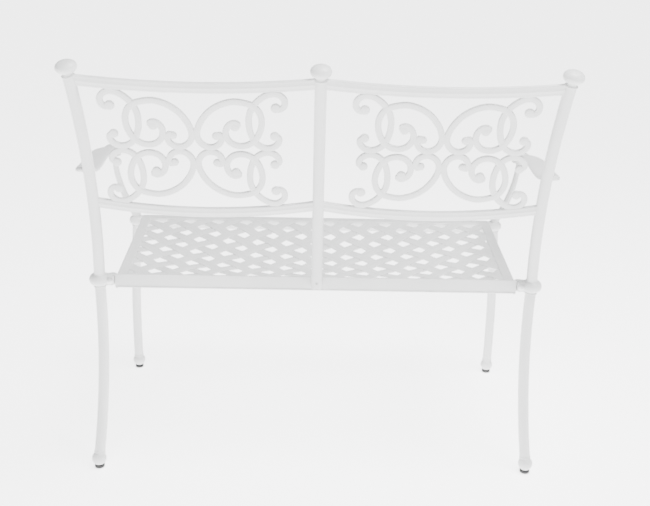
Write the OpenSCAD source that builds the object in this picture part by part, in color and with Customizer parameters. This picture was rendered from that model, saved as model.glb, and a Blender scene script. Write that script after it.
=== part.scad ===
// Two-seat cast garden bench: tube posts and legs, scrolled back, woven cast seat.
// Z is up and the floor is z = 0. The sitter faces -Y, so the sitter's left is +X.
// Places are measured from the middle of the rear seat knuckles, then the whole
// bench is moved along Y so that its origin is the bottom centre of its box.

/* [Overall] */
// Half the distance between the rear knuckles
rear_half = 478; // [400:1:620]
// Height of the knuckle centres at the rear of the seat
rear_knuckle_z = 439; // [400:1:500]
// Distance from the rear knuckles forward to the front knuckles
knuckle_depth = 469; // [400:1:560]
// Height of the corner finial centres
finial_z = 915; // [840:1:1040]

/* [Posts and legs] */
// Outer diameter of the posts and legs
tube_d = 24; // [20:0.5:30]
// Wall of the posts and legs
tube_wall = 2.5; // [2:0.5:4]
// How far the corner posts lean back at the finials
back_lean = 123; // [80:1:180]
// How far the corner posts flare outwards at the finials
post_flare = 9; // [0:1:30]
// Inward bow of the corner posts
post_bow_in = 12; // [4:1:20]
// Forward bow of the corner posts
post_bow_front = 5; // [0:1:15]
// Forward bow of the centre post
centre_bow_front = 13; // [4:1:20]
// How far the rear feet stand behind the rear knuckles
rear_foot_back = 56; // [30:1:90]
// How far the rear feet stand outside the rear knuckles
rear_foot_out = 12; // [0:1:30]
// Bow of the rear legs, forwards
rear_leg_bow_front = 14; // [4:1:24]
// Bow of the rear legs, inwards
rear_leg_bow_in = 7; // [0:1:14]
// How far the front knuckles stand outside the rear ones
front_out = 4; // [0:1:20]
// Height of the front knuckles below the rear ones
front_drop = 3; // [0:1:10]
// How far the front feet stand outside the front knuckles
front_foot_out = 13; // [0:1:30]
// Outward bow of the front legs
front_leg_bow = 5; // [2:1:12]

/* [Knuckles, feet and finials] */
// Diameter of the rear knuckles
rear_knuckle_d = 45; // [38:1:52]
// Height of the rear knuckles
rear_knuckle_h = 27; // [24:1:32]
// Diameter of the front knuckles
front_knuckle_d = 42; // [36:1:48]
// Height of the front knuckles
front_knuckle_h = 25; // [22:1:30]
// Width of the lug that holds the seat bolt
lug_w = 17; // [15:1:20]
// Height of the lug
lug_h = 22; // [18:1:26]
// Thickness of the front lug
lug_t = 9; // [6:1:12]
// How far the rear lug stands out behind the knuckle's centre
lug_back = 9; // [5:1:12]
// How far the rear lug stands out in front of the knuckle's centre
lug_front = 14; // [12:1:18]
// Diameter of the ball foot
foot_d = 33; // [28:1:38]
// Diameter of the glide under a foot
glide_d = 23; // [18:1:26]
// Height of the glide below the foot
glide_h = 8; // [5:1:12]
// Diameter of the glide stem pushed into the foot
glide_stem_d = 9; // [6:0.5:11]
// Diameter of a finial
finial_d = 43; // [36:1:52]
// Height of a finial ball
finial_h = 26; // [22:1:32]
// Length of the spigots inside the tubes
spigot_l = 26; // [15:1:40]
// Gap between a spigot and the tube wall
spigot_gap = 0.3; // [0.1:0.1:0.6]

/* [Back] */
// Height of the top and bottom back rails
rail_h = 23; // [18:1:30]
// Thickness of the back rails
rail_t = 11; // [8:1:16]
// Height of the top rail ends
top_rail_z = 891; // [800:1:1000]
// Height of the bottom rail ends
bottom_rail_z = 628; // [560:1:700]
// Sag of the top rail in each bay
top_sag = 13; // [5:1:25]
// Sag of the bottom rail in each bay
bottom_sag = 21; // [5:1:30]
// Width of the scrolled bars
scroll_w = 13; // [8:0.5:16]
// Thickness of the scrolled bars
scroll_t = 8; // [6:0.5:10]

/* [Seat] */
// Overhang of the seat's front edge past the front knuckles
seat_front_over = 20; // [12:1:30]
// Depth of the dish in the seat
dish = 25; // [10:1:35]
// Thickness of the cast seat
seat_t = 7; // [5:0.5:9]
// Height of the rear skirt rail
rear_skirt_h = 31; // [26:1:40]
// Height of the front skirt rail
front_skirt_h = 30; // [24:1:40]
// Height of the side skirt rails
side_skirt_h = 16; // [12:1:30]
// Thickness of the skirt rails
skirt_t = 5; // [4:0.5:7]
// Width of one weave cell, corner to corner
weave_w = 74; // [60:1:100]
// Depth of one weave cell, corner to corner
weave_d = 81; // [60:1:100]
// Width of the woven bands
band_w = 29.5; // [20:0.5:36]
// Solid border round the weave
border_w = 24; // [16:1:40]
// Solid border at the front edge, where the seat rolls down
front_border = 49; // [30:1:70]

/* [Arms] */
// Height of the arm at the rear post
arm_z = 696; // [640:1:760]
// Drop of the arm from the rear post to the front support
arm_drop = 58; // [20:1:90]
// Width of the arm
arm_w = 48; // [36:1:60]
// Thickness of the arm
arm_t = 10; // [8:1:14]
// Outward lean of the arm support
support_out = 50; // [20:1:80]
// Diameter of the arm support at the knuckle
support_d = 20; // [16:1:24]
// Diameter of the arm support under the arm
support_top_d = 12; // [10:1:16]

/* [Fasteners] */
// Thread diameter of the seat bolts
bolt_d = 8; // [6:1:10]
// Clearance of a bolt in its hole
bolt_gap = 0.4; // [0.2:0.1:0.8]
// Head diameter of the seat bolts
bolt_head_d = 15; // [12:0.5:18]
// Head height of the seat bolts
bolt_head_h = 4; // [3:0.5:6]
// Thickness of the washers
washer_t = 1.5; // [1:0.5:2.5]
// Width across the corners of the nuts
nut_d = 15; // [12:0.5:18]
// Height of the nuts
nut_h = 6.5; // [5:0.5:8]

/* [Hidden] */

white = [0.95, 0.95, 0.94];
black = [0.06, 0.06, 0.06];
steel = [0.62, 0.63, 0.65];
arc_fn = 1440;
tube_fn = 48;
r = tube_d / 2;
bore_r = r - tube_wall;
spigot_r = bore_r - spigot_gap;
eps = 0.01;

// Main points of one side, measured from the rear knuckles.
rear_knuckle = [rear_half, 0, rear_knuckle_z];
front_knuckle = [rear_half + front_out, -knuckle_depth, rear_knuckle_z - front_drop];
rear_foot = [rear_half + rear_foot_out, rear_foot_back, glide_h + foot_d / 2 - 2];
front_foot = [front_knuckle.x + front_foot_out, front_knuckle.y, glide_h + foot_d / 2 - 2];
finial_pt = [rear_half + post_flare, back_lean, finial_z];
centre_finial_pt = [0, back_lean - 4, finial_z];
rear_post_bow = [-post_bow_in, -post_bow_front, 0];
rear_leg_bow = [-rear_leg_bow_in, -rear_leg_bow_front, 0];
front_leg_bow_v = [front_leg_bow, 0, 0];
centre_bow_v = [0, -centre_bow_front, 0];

// The circular arc from a to b whose middle stands off the chord by bow.
function arc_bow(a, b, bow) = let (u = (b - a) / norm(b - a)) bow - (bow * u) * u;
function arc_radius(a, b, bow) = let (s = norm(arc_bow(a, b, bow)), c = norm(b - a))
    (c * c / 4 + s * s) / (2 * s);
function arc_half(a, b, bow) = asin(norm(b - a) / 2 / arc_radius(a, b, bow));
function arc_point(a, b, bow, t) = let (
        u = (b - a) / norm(b - a), n = arc_bow(a, b, bow) / norm(arc_bow(a, b, bow)),
        big = arc_radius(a, b, bow), half = arc_half(a, b, bow), ang = (2 * t - 1) * half)
    (a + b) / 2 + n * (big * cos(ang) - big * cos(half)) + u * big * sin(ang);
function arc_dir(a, b, bow, t) =
    let (d = arc_point(a, b, bow, t + 0.001) - arc_point(a, b, bow, t - 0.001)) d / norm(d);
// Share of the arc at which it passes height z.
function arc_at_z(a, b, bow, z, lo = 0, hi = 1, n = 24) = n == 0 ? (lo + hi) / 2
    : let (m = (lo + hi) / 2) (arc_point(a, b, bow, m).z - z) * (b.z - a.z) < 0
        ? arc_at_z(a, b, bow, z, m, hi, n - 1) : arc_at_z(a, b, bow, z, lo, m, n - 1);

post_rail_top = arc_point(rear_knuckle, finial_pt, rear_post_bow,
    arc_at_z(rear_knuckle, finial_pt, rear_post_bow, top_rail_z));
post_rail_bottom = arc_point(rear_knuckle, finial_pt, rear_post_bow,
    arc_at_z(rear_knuckle, finial_pt, rear_post_bow, bottom_rail_z));
post_arm = arc_point(rear_knuckle, finial_pt, rear_post_bow,
    arc_at_z(rear_knuckle, finial_pt, rear_post_bow, arm_z));

// The bench's Y range: from the seat's front edge to the back of the corner finials.
finial_dir = arc_dir(rear_knuckle, finial_pt, rear_post_bow, 1);
finial_rim = finial_d / 2 - finial_h / 2;
y_back = finial_pt.y + finial_h / 2 + finial_rim * sqrt(1 - finial_dir.y * finial_dir.y);
seat_front = front_knuckle.y - seat_front_over;
y_front = min(seat_front, front_knuckle.y - front_knuckle_d / 2);
y_shift = -(y_back + y_front) / 2;

// ---- building blocks ----

// Puts children with their +Z along dir, at p.
module aim(p, dir) {
    az = atan2(dir.y, dir.x);
    tilt = acos(dir.z / norm(dir));
    translate(p) rotate([0, tilt, az]) children();
}

// Sweeps the children's 2D section along the arc from a to b. The section's X is along the bow.
module along_arc(a, b, bow, from = 0, to = 1) {
    u = (b - a) / norm(b - a);
    n = arc_bow(a, b, bow) / norm(arc_bow(a, b, bow));
    w = cross(n, u);
    big = arc_radius(a, b, bow);
    half = arc_half(a, b, bow);
    c = (a + b) / 2 - n * big * cos(half);
    multmatrix([[n.x, u.x, w.x, c.x], [n.y, u.y, w.y, c.y], [n.z, u.z, w.z, c.z], [0, 0, 0, 1]])
        rotate([0, 0, (2 * from - 1) * half])
            rotate_extrude(angle = 2 * half * (to - from), $fn = arc_fn) translate([big, 0]) children();
}

module bent_rod(a, b, bow, rod_r, from = 0, to = 1) {
    along_arc(a, b, bow, from, to) circle(r = rod_r, $fn = tube_fn);
}

module bent_tube(a, b, bow, from = 0, to = 1) {
    along_arc(a, b, bow, from, to) difference() {
        circle(r = r, $fn = tube_fn);
        circle(r = bore_r, $fn = tube_fn);
    }
}

// A ball squashed along Z: a round rim of radius h/2 about a flat middle.
module squashed_ball(d, h) {
    rotate_extrude($fn = 96) intersection() {
        union() {
            translate([d / 2 - h / 2, 0]) circle(d = h, $fn = 64);
            translate([0, -h / 2]) square([d / 2 - h / 2, h]);
        }
        translate([0, -h]) square([d, 2 * h]);
    }
}

module both_sides() {
    children();
    mirror([1, 0, 0]) children();
}

module placed(side) {
    translate([0, y_shift, 0]) mirror([side < 0 ? 1 : 0, 0, 0]) children();
}

// ---- posts and legs ----

// A post starts on its knuckle's top and stops below the finial's neck.
finial_neck = finial_h / 2 + 7;
post_l = norm(finial_pt - rear_knuckle);
post_from = (rear_knuckle_h / 2 - 1) / post_l;
post_to = 1 - finial_neck / post_l;

module rear_post_solid() {
    difference() {
        bent_tube(rear_knuckle, finial_pt, rear_post_bow, post_from, post_to);
        knuckle_ball(rear_knuckle, rear_knuckle_d, rear_knuckle_h);
    }
}

module rear_post(side) {
    color(white) placed(side) rear_post_solid();
}

centre_foot = [0, skirt_t / 2 + r - 1.5, rear_knuckle_z - 8];
centre_l = norm(centre_finial_pt - centre_foot);

module centre_post_solid() {
    difference() {
        bent_tube(centre_foot, centre_finial_pt, centre_bow_v, 0, 1 - finial_neck / centre_l);
        translate([-r - 1, skirt_t / 2 - 40, rear_knuckle_z - 60]) cube([2 * r + 2, 40, 75]);
        for (z = centre_screw_z) translate([0, 0, z]) rotate([90, 0, 0])
            cylinder(r = screw_r + bolt_gap / 2, h = 80, center = true, $fn = 32);
    }
}

module centre_post() {
    color(white) placed(1) centre_post_solid();
}

leg_rear_l = norm(rear_foot - rear_knuckle);
leg_front_l = norm(front_foot - front_knuckle);

module leg(knuckle, foot, bow, length, ball_d, ball_h) {
    difference() {
        bent_tube(knuckle, foot, bow, (ball_h / 2 - 1) / length, 1 - (foot_d / 2 - 3) / length);
        knuckle_ball(knuckle, ball_d, ball_h);
        translate(foot) sphere(d = foot_d, $fn = 96);
    }
}

module rear_leg(side) {
    color(white) placed(side)
        leg(rear_knuckle, rear_foot, rear_leg_bow, leg_rear_l, rear_knuckle_d, rear_knuckle_h);
}

module front_leg(side) {
    color(white) placed(side)
        leg(front_knuckle, front_foot, front_leg_bow_v, leg_front_l, front_knuckle_d, front_knuckle_h);
}

// ---- knuckles ----

module knuckle_ball(p, d, h) {
    translate(p) squashed_ball(d, h);
}

bolt_in = rear_knuckle_d / 2 + lug_w / 2 - 7;
rear_bolt = [rear_knuckle.x - bolt_in, 0, rear_knuckle_z - 1];
front_bolt = [front_knuckle.x - front_knuckle_d / 2 - lug_w / 2 + 4, front_knuckle.y, front_knuckle.z - 8];

// Lug on the inner side of a knuckle, with its rounded end round the bolt hole.
module lug(bolt, knuckle, back, front) {
    t = back + front;
    translate(bolt) rotate([90, 0, 0]) translate([0, 0, -back]) {
        translate([0, -lug_h / 2, 0]) cube([knuckle.x - bolt.x, lug_h, t]);
        translate([-lug_w / 2 + 3, -lug_h / 2, 0]) cube([lug_w / 2 + 3, lug_h, t]);
        translate([-lug_w / 2, -lug_h / 2 + 3, 0]) cube([3 + eps, lug_h - 6, t]);
        for (s = [-1, 1]) translate([-lug_w / 2 + 3, s * (lug_h / 2 - 3), 0])
            cylinder(r = 3, h = t, $fn = 32);
    }
}

// Flat seat for a bolt head, cut into the ball beside the rear lug.
module spot_face(bolt) {
    translate(bolt + [0, lug_back, 0]) rotate([-90, 0, 0])
        cylinder(d = bolt_head_d + 4, h = rear_knuckle_d, $fn = 64);
}

module bolt_hole(bolt) {
    translate(bolt) rotate([90, 0, 0])
        cylinder(d = bolt_d + bolt_gap, h = 60, center = true, $fn = 48);
}

module spigot(knuckle, to, bow, h) {
    bent_rod(knuckle, to, bow, spigot_r, 0, (h / 2 + spigot_l) / norm(to - knuckle));
}

module rear_knuckle_part(side) {
    color(white) placed(side) difference() {
        union() {
            knuckle_ball(rear_knuckle, rear_knuckle_d, rear_knuckle_h);
            lug(rear_bolt, rear_knuckle, lug_back, lug_front);
            spigot(rear_knuckle, finial_pt, rear_post_bow, rear_knuckle_h);
            spigot(rear_knuckle, rear_foot, rear_leg_bow, rear_knuckle_h);
        }
        bolt_hole(rear_bolt);
        spot_face(rear_bolt);
    }
}

// The front knuckle carries the arm support on its flat top.
module front_knuckle_part(side) {
    color(white) placed(side) difference() {
        union() {
            knuckle_ball(front_knuckle, front_knuckle_d, front_knuckle_h);
            lug(front_bolt, front_knuckle, lug_t / 2, lug_t / 2);
            spigot(front_knuckle, front_foot, front_leg_bow_v, front_knuckle_h);
        }
        bolt_hole(front_bolt);
    }
}

// ---- feet and glides ----

module foot(centre, knuckle, bow, length) {
    difference() {
        union() {
            translate(centre) sphere(d = foot_d, $fn = 96);
            bent_rod(knuckle, centre, bow, spigot_r, 1 - (foot_d / 2 + spigot_l) / length, 1);
        }
        translate([centre.x - foot_d, centre.y - foot_d, glide_h - 2 * foot_d])
            cube([2 * foot_d, 2 * foot_d, 2 * foot_d]);
        translate([centre.x, centre.y, glide_h - 1])
            cylinder(d = glide_stem_d, h = glide_stem_l + 1, $fn = 48);
    }
}

glide_stem_l = 16;

module glide(centre) {
    translate([centre.x, centre.y, 0]) {
        rotate_extrude($fn = 72) intersection() {
            union() {
                translate([0, 0]) square([glide_d / 2 - 2, glide_h]);
                translate([0, 2]) square([glide_d / 2, glide_h - 2]);
                translate([glide_d / 2 - 2, 2]) circle(r = 2, $fn = 32);
            }
            square([glide_d, glide_h]);
        }
        cylinder(d = glide_stem_d, h = glide_h + glide_stem_l - 1, $fn = 48);
    }
}

module foot_rear(side) {
    color(white) placed(side) foot(rear_foot, rear_knuckle, rear_leg_bow, leg_rear_l);
}

module foot_front(side) {
    color(white) placed(side) foot(front_foot, front_knuckle, front_leg_bow_v, leg_front_l);
}

module glide_rear(side) {
    color(black) placed(side) glide(rear_foot);
}

module glide_front(side) {
    color(black) placed(side) glide(front_foot);
}

// ---- finials ----

// Squashed ball on a grooved neck, with a spigot down inside the tube.
module finial_at(p, dir) {
    aim(p, dir) {
        squashed_ball(finial_d, finial_h);
        translate([0, 0, -finial_neck + 1]) cylinder(r = r - 2, h = finial_neck, $fn = tube_fn);
        translate([0, 0, -finial_neck]) cylinder(r = r - 0.2, h = 3.5, $fn = tube_fn);
        translate([0, 0, -finial_neck - spigot_l]) cylinder(r = spigot_r, h = spigot_l + 1, $fn = tube_fn);
    }
}

module finial_side(side) {
    color(white) placed(side) finial_at(finial_pt, arc_dir(rear_knuckle, finial_pt, rear_post_bow, 1));
}

module finial_centre() {
    color(white) placed(1)
        finial_at(centre_finial_pt, arc_dir(centre_foot, centre_finial_pt, centre_bow_v, 1));
}

// ---- back rails ----

centre_rail_top = arc_point(centre_foot, centre_finial_pt, centre_bow_v,
    arc_at_z(centre_foot, centre_finial_pt, centre_bow_v, top_rail_z));
centre_rail_bottom = arc_point(centre_foot, centre_finial_pt, centre_bow_v,
    arc_at_z(centre_foot, centre_finial_pt, centre_bow_v, bottom_rail_z));

// The back's lean, from the middle of the bottom rail to the middle of the top rail.
back_low = (post_rail_bottom + centre_rail_bottom) / 2;
back_high = (post_rail_top + centre_rail_top) / 2;
back_rise = norm([0, back_high.y - back_low.y, back_high.z - back_low.z]);
back_up = [0, back_high.y - back_low.y, back_high.z - back_low.z] / back_rise;

module rail_section() {
    round_r = 3;
    ridge = 1.2;
    offset_free_box(rail_h, rail_t - 2 * ridge, round_r);
    for (s = [-1, 1]) translate([0, s * (rail_t / 2 - ridge - 2.8)]) circle(r = 4, $fn = 48);
}

// A rectangle with rounded corners, long side along X.
module offset_free_box(w, t, corner) {
    square([w - 2 * corner, t], center = true);
    square([w, t - 2 * corner], center = true);
    for (x = [-1, 1], y = [-1, 1]) translate([x * (w / 2 - corner), y * (t / 2 - corner)])
        circle(r = corner, $fn = 32);
}

module rail_solid(outer, inner, sag) {
    along_arc(inner, outer, -sag * back_up) rail_section();
}

module top_rail_solid() {
    rail_solid(post_rail_top, centre_rail_top, top_sag);
}

module bottom_rail_solid() {
    rail_solid(post_rail_bottom, centre_rail_bottom, bottom_sag);
}

// Height below a finial's centre at which its ball is no wider than the tube.
ball_room = finial_h / 2 - 0.5;

module post_envelopes() {
    bent_rod(rear_knuckle, finial_pt, rear_post_bow, r, 0.02, 0.995);
    bent_rod(centre_foot, centre_finial_pt, centre_bow_v, r, 0.02, 0.995);
}

// Room for the finial balls, above the rails' ends.
module ball_envelopes() {
    for (p = [[finial_pt, arc_dir(rear_knuckle, finial_pt, rear_post_bow, 1)],
            [centre_finial_pt, arc_dir(centre_foot, centre_finial_pt, centre_bow_v, 1)]])
        aim(p[0], p[1]) {
            translate([0, 0, -ball_room]) cylinder(r1 = r + 1, r2 = finial_d / 2 - 1, h = ball_room - 5, $fn = tube_fn);
        }
}

module top_rail(side) {
    color(white) placed(side) difference() {
        top_rail_solid();
        post_envelopes();
        ball_envelopes();
    }
}

module bottom_rail(side) {
    color(white) placed(side) difference() {
        bottom_rail_solid();
        post_envelopes();
    }
}

// ---- scroll panels ----

// One quarter of a panel is two scrolled bars. Points are measured from the panel's
// middle: outwards to the panel's side, then up to the rail.
side_scroll = [[157, 91], [167, 90], [175, 99], [174, 112], [162, 122], [147, 122], [131, 113.5],
    [117, 99], [108, 80], [106, 60], [109, 38], [117, 19], [128, 9], [141, 5], [154, 8], [163, 17],
    [165, 27], [158, 33]];
arch_scroll = [[41, 31], [49, 34], [53, 25], [48, 13], [37, 6], [24, 6], [12, 14], [5.5, 27], [6, 42],
    [14, 62], [30, 83], [52, 98], [76, 105], [97, 103], [114, 97], [126, 84], [131, 65], [128, 43],
    [118, 23], [104, 12], [88, 9], [73, 14], [63, 26], [61, 41], [67, 54], [77, 60], [86, 57], [82, 50]];
scroll_ends = [[158, 93, 10], [156, 32, 9.5], [79, 51, 9.5], [42, 30, 8.5]];
scroll_steps = 2;
// Half height that the points above are drawn for, with the bar's own half width.
scroll_half_h = 128;
// Half the bay's width that the points above are drawn for.
scroll_bay = 231.7;

function spline_at(p, i, t) = let (
        n = len(p) - 1, p0 = p[max(i - 1, 0)], p1 = p[i], p2 = p[min(i + 1, n)], p3 = p[min(i + 2, n)])
    0.5 * (2 * p1 + (p2 - p0) * t + (2 * p0 - 5 * p1 + 4 * p2 - p3) * t * t
        + (3 * p1 - p0 - 3 * p2 + p3) * t * t * t);
function spline(p, steps) = [for (i = [0 : len(p) - 2], k = [0 : steps - 1]) spline_at(p, i, k / steps),
    p[len(p) - 1]];
function bar_normal(c, i) = let (d = c[min(i + 1, len(c) - 1)] - c[max(i - 1, 0)], u = d / norm(d))
    [-u.y, u.x];
// Outline of a bar of width w along the points c, up one side and back down the other.
function bar_outline(c, w) = concat([for (i = [0 : len(c) - 1]) c[i] + bar_normal(c, i) * w / 2],
    [for (i = [len(c) - 1 : -1 : 0]) c[i] - bar_normal(c, i) * w / 2]);

module scroll_bar(points) {
    polygon(bar_outline(spline(points, scroll_steps), scroll_w));
}

module panel_quarter() {
    scroll_bar(side_scroll);
    scroll_bar(arch_scroll);
    for (e = scroll_ends) translate([e.x, e.y]) circle(r = e.z, $fn = 20);
}

// The panel's middle, across the bay and up the back's slope from the bottom rail's ends.
bay_middle = [(post_rail_bottom.x + post_rail_top.x) / 4, 0];
panel_x = bay_middle.x + tube_d / 2;
rail_share = 1 - pow(155 / bay_middle.x, 2);
panel_low = rail_h / 2 - bottom_sag * rail_share;
panel_high = back_rise - rail_h / 2 - top_sag * rail_share;
panel_v = (panel_high + panel_low) / 2;
panel_stretch = (panel_high - panel_low + 2) / (2 * scroll_half_h);
panel_wide = bay_middle.x / scroll_bay;
fillet = 1.2;

// Space between the two rails' facing edges, measured from the panel's middle.
module between_rails() {
    big_top = arc_radius(centre_rail_top, post_rail_top, -top_sag * back_up);
    big_bottom = arc_radius(centre_rail_bottom, post_rail_bottom, -bottom_sag * back_up);
    shift = bay_middle.x - panel_x;
    difference() {
        translate([shift, big_bottom - bottom_sag - panel_v])
            circle(r = big_bottom - rail_h / 2, $fn = arc_fn);
        translate([shift, back_rise - top_sag + big_top - panel_v])
            circle(r = big_top + rail_h / 2, $fn = arc_fn);
    }
}

module panel_outline() {
    intersection() {
        offset(r = -fillet, $fn = 12) offset(delta = fillet)
            for (mx = [0, 1], my = [0, 1]) mirror([mx, 0]) mirror([0, my])
                scale([panel_wide, panel_stretch]) panel_quarter();
        between_rails();
    }
}

module scroll_panel(side) {
    color(white) placed(side) multmatrix([[1, 0, 0, panel_x],
        [0, back_up.y, -back_up.z, back_low.y + back_up.y * panel_v],
        [0, back_up.z, back_up.y, back_low.z + back_up.z * panel_v],
        [0, 0, 0, 1]])
        translate([0, 0, -scroll_t / 2]) linear_extrude(height = scroll_t) panel_outline();
}

// ---- seat ----

// The seat is a flat plate from its front crest to the rear rail, with a shallow dish in it.
seat_rear = -skirt_t / 2;
crest_z = front_knuckle.z + 13;
seat_rear_z = rear_knuckle_z + 1;
seat_mid = (seat_front + seat_rear) / 2;
seat_chord = seat_rear - seat_front;
seat_tilt = atan2(seat_rear_z - crest_z, seat_chord);

// The seat's half width at the rear and at the front.
rear_half_w = rear_bolt.x - lug_w / 2 - 1.2;
front_half_w = front_knuckle.x - 14;

// The dish is a piece of a ring: one arc from front to back, a flatter one from side to side.
dish_front = front_border - 4;
dish_len = seat_chord - dish_front;
dish_half_w = rear_half_w - 6;
dish_r = (dish_len * dish_len / 4 + dish * dish) / (2 * dish);
dish_side_r = (dish_half_w * dish_half_w + dish * dish) / (2 * dish);
dish_turn = atan2(dish_half_w + 30, dish_side_r);

module seat_plan(inset) {
    polygon([[-front_half_w + inset, seat_front + inset], [front_half_w - inset, seat_front + inset],
        [rear_half_w - inset, seat_rear - inset], [-rear_half_w + inset, seat_rear - inset]]);
}

// Puts children in the plate's own frame: origin at the middle of its top, Y towards the rear.
module on_plate() {
    translate([0, seat_mid, (crest_z + seat_rear_z) / 2]) rotate([seat_tilt, 0, 0]) children();
}

// A flat layer between two depths below the plate's top.
module plate_layer(upper, lower) {
    translate([-front_half_w - 5, -seat_chord / 2 - 5, -lower])
        cube([2 * front_half_w + 10, seat_chord + 10, lower - upper]);
}

// The children's side section swept round the dish's side-to-side arc.
module round_dish() {
    translate([0, dish_front / 2, dish_side_r - dish])
        multmatrix([[0, -1, 0, 0], [0, 0, 1, 0], [-1, 0, 0, 0], [0, 0, 0, 1]])
            rotate([0, 0, -dish_turn]) rotate_extrude(angle = 2 * dish_turn, $fn = arc_fn) children();
}

// Side section of the dish down to a depth below its surface.
module dish_section(lower) {
    intersection() {
        translate([dish_side_r - dish_r, 0]) circle(r = dish_r + lower, $fn = arc_fn);
        translate([dish_side_r - dish - 12, -seat_chord]) square([2 * dish + lower + 12, 2 * seat_chord]);
    }
}

// Dished plate of thickness seat_t, before its holes and its outline are cut.
module dished_plate() {
    on_plate() {
        difference() {
            plate_layer(0, seat_t);
            round_dish() dish_section(0);
        }
        intersection() {
            round_dish() difference() {
                dish_section(seat_t);
                dish_section(0);
            }
            plate_layer(0, dish + 2 * seat_t);
        }
    }
}

weave_rows = floor((seat_chord - front_border - border_w) / (weave_d / 2));
weave_cols = ceil(front_half_w / weave_w);
weave_y = seat_front + front_border + 8;
cell_side = norm([weave_w, weave_d]) / 2;
hole_share = 1 - band_w * cell_side / (weave_w * weave_d / 2);

module weave_holes() {
    hole = hole_share / 2 * [weave_w, weave_d];
    intersection() {
        for (j = [0 : weave_rows]) for (i = [-weave_cols : weave_cols])
            translate([(i + (j % 2 == 0 ? 0.5 : 0)) * weave_w, weave_y + j * weave_d / 2])
                polygon([[-hole.x, 0], [0, -hole.y], [hole.x, 0], [0, hole.y]]);
        polygon([[-front_half_w + border_w, seat_front + front_border],
            [front_half_w - border_w, seat_front + front_border],
            [rear_half_w - border_w, seat_rear - border_w], [-rear_half_w + border_w, seat_rear - border_w]]);
    }
}

knuckle_gap = 0.5;

module knuckle_clearance() {
    translate([front_knuckle.x, front_knuckle.y, front_knuckle.z - 60])
        cylinder(d = front_knuckle_d + 2 * knuckle_gap, h = 120, $fn = 96);
    translate(front_bolt - [lug_w / 2 + knuckle_gap, lug_t / 2 + knuckle_gap, 60])
        cube([lug_w + 20, lug_t + 2 * knuckle_gap, 120]);
}

// Upright prism of the children's plan, tall enough to pass right through the seat.
module through_seat() {
    translate([0, 0, rear_knuckle_z - 90]) linear_extrude(height = 180) children();
}

module seat_panel() {
    color(white) placed(1) difference() {
        intersection() {
            dished_plate();
            through_seat() seat_plan(0);
        }
        through_seat() weave_holes();
        both_sides() knuckle_clearance();
    }
}

// Skirt rails stand under the seat panel's border, and the rear one rises behind it.
module seat_rail_rear() {
    top = rear_knuckle_z + 13;
    color(white) placed(1) difference() {
        translate([-rear_half_w, -skirt_t / 2, top - rear_skirt_h])
            cube([2 * rear_half_w, skirt_t, rear_skirt_h]);
        for (z = centre_screw_z) translate([0, 0, z]) rotate([90, 0, 0])
            cylinder(r = screw_r, h = 80, center = true, $fn = 32);
    }
}

module seat_rail_front() {
    top = crest_z - seat_t - 1.5;
    color(white) placed(1) difference() {
        intersection() {
            translate([-front_half_w, seat_front, top - front_skirt_h])
                cube([2 * front_half_w, skirt_t, front_skirt_h]);
            on_plate() plate_layer(seat_t, seat_t + 2 * front_skirt_h);
        }
        both_sides() knuckle_clearance();
    }
}

// A side rail runs under the plate's edge, and its two ends turn in to carry the seat bolts.
tab_t = 8;
tab_rear_y = rear_bolt.y - lug_front - tab_t - 0.1;
tab_front_y = front_bolt.y + lug_t / 2 + knuckle_gap + 0.1;

module seat_rail_side(side) {
    run = norm([rear_half_w - front_half_w, seat_chord]);
    turn = atan2(rear_half_w - front_half_w, seat_chord);
    front_gap = front_knuckle.y - seat_front;
    tab_h = lug_h - 3;
    low = rear_bolt.z - lug_h / 2 - 6;
    front_w = front_half_w - 2 - (front_bolt.x - lug_w / 2);
    color(white) placed(side) difference() {
        union() {
            intersection() {
                on_plate() plate_layer(seat_t, seat_t + side_skirt_h);
                translate([front_half_w, seat_front, 0]) rotate([0, 0, -turn])
                    translate([-skirt_t, front_gap, rear_knuckle_z - 90])
                        cube([skirt_t, run - front_gap - 0.6, 180]);
            }
            translate([rear_half_w + 1, tab_rear_y, low]) cube([lug_w, tab_t, tab_h + 6]);
            translate([rear_half_w - skirt_t, tab_rear_y, low]) cube([skirt_t + 2, tab_t, 11]);
            translate([front_bolt.x - lug_w / 2, tab_front_y, front_bolt.z - tab_h / 2])
                cube([front_w, tab_t, tab_h]);
        }
        bolt_hole(rear_bolt);
        bolt_hole(front_bolt);
        knuckle_clearance();
        translate(rear_knuckle - [0, 0, 60])
            cylinder(d = rear_knuckle_d + 2 * knuckle_gap, h = 120, $fn = 96);
    }
}

// ---- arms ----

support_base = front_knuckle + [0, 0, front_knuckle_h / 2 - 1];
support_top = [front_knuckle.x + support_out, front_knuckle.y + 16, arm_z - arm_drop];
support_bow = [14, 4, 0];
support_parts = 5;

module arm_support(side) {
    color(white) placed(side) difference() {
        for (i = [0 : support_parts - 1]) {
            p = arc_point(support_base, support_top, support_bow, i / support_parts);
            q = arc_point(support_base, support_top, support_bow, (i + 1) / support_parts);
            d0 = support_d + (support_top_d - support_d) * i / support_parts;
            d1 = support_d + (support_top_d - support_d) * (i + 1) / support_parts;
            aim(p, q - p) cylinder(d1 = d0, d2 = d1, h = norm(q - p), $fn = tube_fn);
            if (i > 0) translate(p) sphere(d = d0 + 0.3, $fn = tube_fn);
        }
        knuckle_ball(front_knuckle, front_knuckle_d, front_knuckle_h);
        arm_shape();
    }
}

// Side view of the arm's middle line, from the rear post forwards to the front roll.
// First number: share of the way to the support; second: share of the arm's drop.
arm_reach = post_arm.y - support_top.y;
arm_fall = [[0.08, 0], [0.21, 0.05], [0.39, 0.17], [0.58, 0.38], [0.76, 0.66], [0.88, 0.86]];
arm_line = concat([[-4, -4], [8, -2]], [for (p = arm_fall) [p.x * arm_reach, p.y * arm_drop]],
    [[arm_reach + 10, arm_drop], [arm_reach + 24, arm_drop + 15], [arm_reach + 22, arm_drop + 31]]);
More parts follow.
